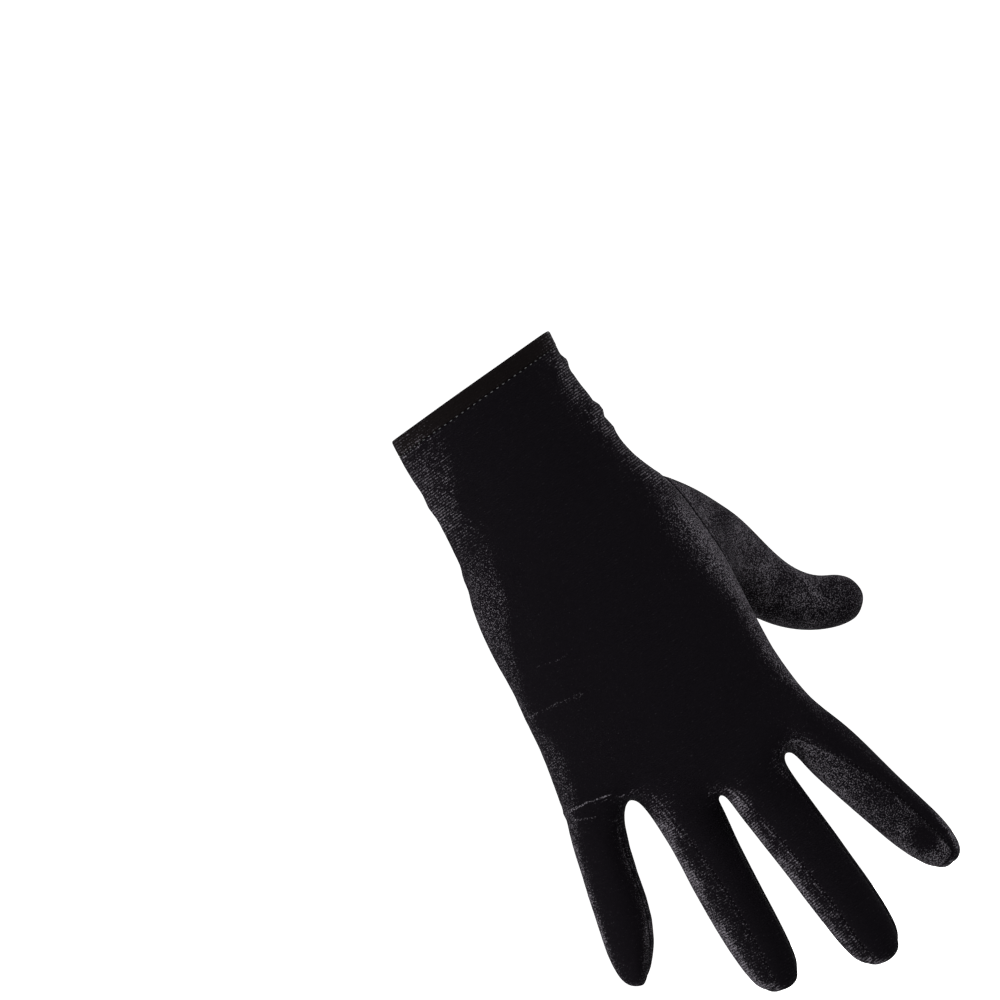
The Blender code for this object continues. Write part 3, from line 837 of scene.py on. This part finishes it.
def makeFoldHighlightGroup():
    tree = bpy.data.node_groups.new("foldHighlight", "ShaderNodeTree")
    for name in ("From", "To"):
        tree.interface.new_socket(name, in_out="INPUT", socket_type="NodeSocketVector")
    width = tree.interface.new_socket("Half Width", in_out="INPUT", socket_type="NodeSocketFloat")
    width.default_value = mm
    tree.interface.new_socket("Mask", in_out="OUTPUT", socket_type="NodeSocketFloat")
    inputs = tree.nodes.new("NodeGroupInput").outputs
    outputs = tree.nodes.new("NodeGroupOutput").inputs

    def vectorNode(operation, first, second, result="Vector"):
        node = tree.nodes.new("ShaderNodeVectorMath")
        node.operation = operation
        link(tree, first, node.inputs[0])
        if isinstance(second, tuple):
            node.inputs[1].default_value = second
        else:
            link(tree, second, node.inputs["Scale" if operation == "SCALE" else 1])
        return node.outputs[result]

    place = tree.nodes.new("ShaderNodeTexCoord").outputs["Object"]
    start = vectorNode("MULTIPLY", inputs["From"], foldDepth)
    away = vectorNode("SUBTRACT", vectorNode("MULTIPLY", place, foldDepth), start)
    whole = vectorNode("SUBTRACT", vectorNode("MULTIPLY", inputs["To"], foldDepth), start)
    along = vectorNode("DOT_PRODUCT", away, whole, "Value")
    square = vectorNode("DOT_PRODUCT", whole, whole, "Value")
    nearest = vectorNode("SCALE", whole, mathNode(tree, "DIVIDE", along, square, clamp=True))
    distance = vectorNode("DISTANCE", away, nearest, "Value")
    nearness = mathNode(tree, "DIVIDE", distance, inputs["Half Width"])
    link(tree, rangeNode(tree, nearness, 1.0, 0.2), outputs["Mask"])
    return tree


pileGroup = makePileGroup()
foldHighlightGroup = makeFoldHighlightGroup()


# One cut of the velvet, with sheen painted into its colour. start and full are how far the cloth
# turns away before the painted sheen shows, and rest is how much of it shows where it doesn't
def makeVelvet(name, start, full, rest, glow, ribDepth, deep=velvet["deep"], lines=()):
    material = bpy.data.materials.new(name)
    material.use_nodes = True
    tree = material.node_tree
    shader = tree.nodes["Principled BSDF"]
    pile = tree.nodes.new("ShaderNodeGroup")
    pile.node_tree = pileGroup
    ribs = mathNode(tree, "MULTIPLY", clothValue(tree, "ribs"), ribDepth)
    link(tree, ribs, pile.inputs["Rib Depth"])
    link(tree, clothValue(tree, "grain"), pile.inputs["Grain"])
    # painted sheen: the further the cloth turns away from the view, the more of the lit colour
    turned = tree.nodes.new("ShaderNodeLayerWeight").outputs["Facing"]
    band = rangeNode(tree, turned, start, full, rest, velvet["most"])
    sheenBySide = mathNode(tree, "MULTIPLY", band, clothValue(tree, "sideSheen"))
    clouded = mathNode(tree, "MULTIPLY", sheenBySide, pile.outputs["Cloud"])
    seam = clothValue(tree, "seam")
    # painted highlight on the raised cloth beside each seam
    ridge = mathNode(tree, "MULTIPLY", rangeNode(tree, seam, *velvet["ridge"]), pile.outputs["Seam Highlight"])
    shining = mathNode(tree, "ADD", clouded, clothValue(tree, "shine"))
    amount = mathNode(tree, "ADD", shining, ridge)
    for lineStart, lineEnd, halfWidth, crest in lines:
        fold = tree.nodes.new("ShaderNodeGroup")
        fold.node_tree = foldHighlightGroup
        fold.inputs["From"].default_value = lineStart
        fold.inputs["To"].default_value = lineEnd
        fold.inputs["Half Width"].default_value = halfWidth * mm
        # painted highlight along a fold
        lifted = mathNode(tree, "MULTIPLY", fold.outputs["Mask"], crest)
        amount = mathNode(tree, "ADD", amount, lifted)
    amount = mathNode(tree, "MINIMUM", amount, 1.0)
    # the stronger the painted sheen, the more flecks pass the threshold and the brighter they are
    shown = mathNode(tree, "MULTIPLY_ADD", amount, velvet["spread"])
    link(tree, pile.outputs["Fleck"], shown.node.inputs[2])
    flecked = rangeNode(tree, shown, velvet["sparse"], velvet["dense"])
    bright = mathNode(tree, "MULTIPLY_ADD", amount, glow * (1.0 - velvet["faint"]))
    bright.node.inputs[2].default_value = glow * velvet["faint"]
    # cut edges lie in the shade of the seam, and so does the bottom of its valley
    valley = rangeNode(tree, seam, *velvet["valley"], 0.0, velvet["shade"])
    shaded = mathNode(tree, "MAXIMUM", clothValue(tree, "cutEdge"), valley)
    unshaded = mathNode(tree, "SUBTRACT", 1.0, shaded)
    lit = mathNode(tree, "MULTIPLY", flecked, bright)
    factor = mathNode(tree, "MULTIPLY", lit, unshaded, clamp=True)
    colour = tree.nodes.new("ShaderNodeMix")
    colour.data_type = "RGBA"
    colour.inputs["A"].default_value = deep
    colour.inputs["B"].default_value = velvet["lit"]
    link(tree, factor, colour.inputs["Factor"])
    link(tree, colour.outputs["Result"], shader.inputs["Base Color"])
    rough = rangeNode(tree, pile.outputs["Fleck"], 0.0, 1.0, *velvet["rough"])
    link(tree, rough, shader.inputs["Roughness"])
    bump = tree.nodes.new("ShaderNodeBump")
    bump.inputs["Strength"].default_value = velvet["bumpStrength"]
    bump.inputs["Distance"].default_value = velvet["bump"]
    link(tree, pile.outputs["Height"], bump.inputs["Height"])
    link(tree, bump.outputs["Normal"], shader.inputs["Normal"])
    shader.inputs["Specular IOR Level"].default_value = velvet["gloss"]
    shader.inputs["Sheen Weight"].default_value = velvet["sheen"]
    shader.inputs["Sheen Roughness"].default_value = velvet["sheenRoughness"]
    shader.inputs["Sheen Tint"].default_value = velvet["sheenTint"]
    return material


# start, full, rest and glow of each piece's painted sheen, set apart for each piece as the light falls on
# it, and depth of its ribs
cuts = {
    "cuffHem": (0.10, 0.60, 0.00, 0.45, 0.60),
    "backOfHand": (0.05, 0.50, 0.00, 0.50, 0.60),
    "palmOfHand": (0.05, 0.50, 0.00, 0.50, 0.60),
    "thumbPiece": (0.10, 1.00, 0.80, 0.40, 0.42),
    "fourchetteLittleRing": (0.00, 0.50, 0.28, 0.50, 0.45),
    "fourchetteRingMiddle": (0.00, 0.50, 0.46, 0.50, 0.55),
    "fourchetteMiddleIndex": (0.00, 0.60, 0.58, 0.46, 0.30),
}
hemColour = (0.0038, 0.0029, 0.0030, 1.0)
# Painted highlights along the finest folds of the back: from and to (x, z), half width in mm, how
# strongly they shine
foldHighlights = [
    ((-53.2, -124.9), (-45.3, -126.1), 0.60, 1.00), ((-45.3, -126.1), (-37.5, -128.3), 0.55, 0.84),
    ((-43.1, -127.7), (-31.2, -132.4), 0.55, 0.40), ((-51.3, -128.4), (-45.6, -131.3), 0.55, 0.62),
    ((-44.1, -94.3), (-27.3, -97.3), 1.20, 0.38), ((-33.1, -82.9), (-26.9, -84.9), 0.60, 0.36),
    ((-26.9, -84.9), (-21.2, -84.8), 0.60, 0.36),
]
backTree = BVHTree.FromPolygons(*cornersAndFaces(dressed["backOfHand"]))
highlightsOfBack = [(onCloth(backTree, *start), onCloth(backTree, *end), halfWidth, strength)
               for start, end, halfWidth, strength in foldHighlights]
for name, piece in dressed.items():
    deep = hemColour if name == "cuffHem" else velvet["deep"]
    lines = highlightsOfBack if name == "backOfHand" else ()
    material = makeVelvet("velvet" + name[0].upper() + name[1:], *cuts[name], deep=deep, lines=lines)
    piece.data.materials.clear()
    piece.data.materials.append(material)
print("velvet made")


threads = {
    "hem": {"colour": (0.070, 0.072, 0.074), "roughness": 0.5},
    "seam": {"colour": (0.046, 0.042, 0.049), "roughness": 0.6},
    "twist": 0.25 * mm,      # size of the darker places in the thread
    "darkest": 0.45,         # as a share of its colour
    "gloss": 0.2,
}


def makeThread(name, colour, roughness):
    material = bpy.data.materials.new(name)
    material.use_nodes = True
    tree = material.node_tree
    shader = tree.nodes["Principled BSDF"]
    place = tree.nodes.new("ShaderNodeTexCoord").outputs["Object"]
    twist = noiseNode(tree, place, threads["twist"], 2.0)
    shade = tree.nodes.new("ShaderNodeMix")
    shade.data_type = "RGBA"
    shade.inputs["A"].default_value = tuple(threads["darkest"] * c for c in colour) + (1.0,)
    shade.inputs["B"].default_value = colour + (1.0,)
    link(tree, twist.outputs["Fac"], shade.inputs["Factor"])
    link(tree, shade.outputs["Result"], shader.inputs["Base Color"])
    shader.inputs["Roughness"].default_value = roughness
    shader.inputs["Specular IOR Level"].default_value = threads["gloss"]
    return material


stitchTree = makeStitchTree()
for kind, lines in sewnLines().items():
    name = kind + "Stitches"
    thread = makeThread(kind + "Thread", **threads[kind])
    dressed[name] = sew(name, lines, stitches[kind], thread, stitchTree)
    print(name + ":", len(dressed[name].data.polygons), "faces")

# Floor and backdrop in one sheet, curving up behind
stage = {
    "floor": -0.252, "back": 12.0, "front": -12.0, "side": 12.0, "top": 14.0, "bend": 3.0, "steps": 16,
    "colour": (0.80, 0.80, 0.80, 1.0), "roughness": 0.9,
}


def makeStage():
    profile = [(stage["front"], stage["floor"])]
    centreY, centreZ = stage["back"] - stage["bend"], stage["floor"] + stage["bend"]
    for step in range(stage["steps"] + 1):
        turn = 0.5 * math.pi * step / stage["steps"]
        out, down = stage["bend"] * math.sin(turn), stage["bend"] * math.cos(turn)
        profile.append((centreY + out, centreZ - down))
    profile.append((stage["back"], stage["top"]))
    sheet = bmesh.new()
    rows = [[sheet.verts.new((x, y, z)) for x in (-stage["side"], stage["side"])] for y, z in profile]
    for low, high in zip(rows, rows[1:]):
        sheet.faces.new((low[0], low[1], high[1], high[0]))
    floor = toObject(sheet, "studioFloor")
    floor.data.polygons.foreach_set("use_smooth", [True] * len(floor.data.polygons))
    paper = bpy.data.materials.new("whitePaper")
    paper.use_nodes = True
    tree = paper.node_tree
    shader = tree.nodes["Principled BSDF"]
    shader.inputs["Base Color"].default_value = stage["colour"]
    shader.inputs["Roughness"].default_value = stage["roughness"]
    shader.inputs["Emission Color"].default_value = (1.0, 1.0, 1.0, 1.0)
    seen = tree.nodes.new("ShaderNodeLightPath").outputs["Is Camera Ray"]
    link(tree, seen, shader.inputs["Emission Strength"])      # overexposed, so its shadows don't show
    floor.data.materials.append(paper)


makeStage()

# Soft lights: where each stands from the glove's middle, its size and its power
gloveMiddle = Vector((0.0, 0.0, -0.110))
skyLight = 0.16              # what the white around the glove gives, of the white that is seen
lights = [
    ("leftSoftbox", (-1.50, -0.60, 0.25), 1.0, 40.0),
    ("topSoftbox", (1.00, -0.40, 1.00), 0.8, 20.0),
    ("frontFill", (-0.30, -2.20, 0.50), 1.2, 9.0),
    ("rightFill", (1.70, -1.00, -0.15), 1.2, 5.0),
    ("backFill", (0.50, 2.30, 0.60), 1.6, 22.0),
]


def makeLights():
    for name, offset, size, power in lights:
        data = bpy.data.lights.new(name, "AREA")
        data.shape, data.size, data.energy = "SQUARE", size, power
        lamp = bpy.data.objects.new(name, data)
        lamp.location = gloveMiddle + Vector(offset)
        lamp.rotation_mode = "QUATERNION"
        lamp.rotation_quaternion = Vector(offset).to_track_quat("Z", "Y")
        scene.collection.objects.link(lamp)
    world = bpy.data.worlds.new("studio")
    world.use_nodes = True
    sky = world.node_tree.nodes["Background"]
    sky.inputs["Color"].default_value = (1.0, 1.0, 1.0, 1.0)
    seen = world.node_tree.nodes.new("ShaderNodeLightPath").outputs["Is Camera Ray"]
    strength = rangeNode(world.node_tree, seen, 0.0, 1.0, skyLight, 1.0)
    link(world.node_tree, strength, sky.inputs["Strength"])
    scene.world = world
    scene.view_settings.view_transform = "Standard"


makeLights()
print("studio ready")

# Every piece hangs from the root body, and the imported parts that the cloth replaces are hidden
for name, node in clothPieces:
    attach(dressed[name], "root")
    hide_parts(node)
for name, slot in (("hemStitches", "cuff_hem"), ("seamStitches", "back_panel")):
    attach(dressed[name], "root")
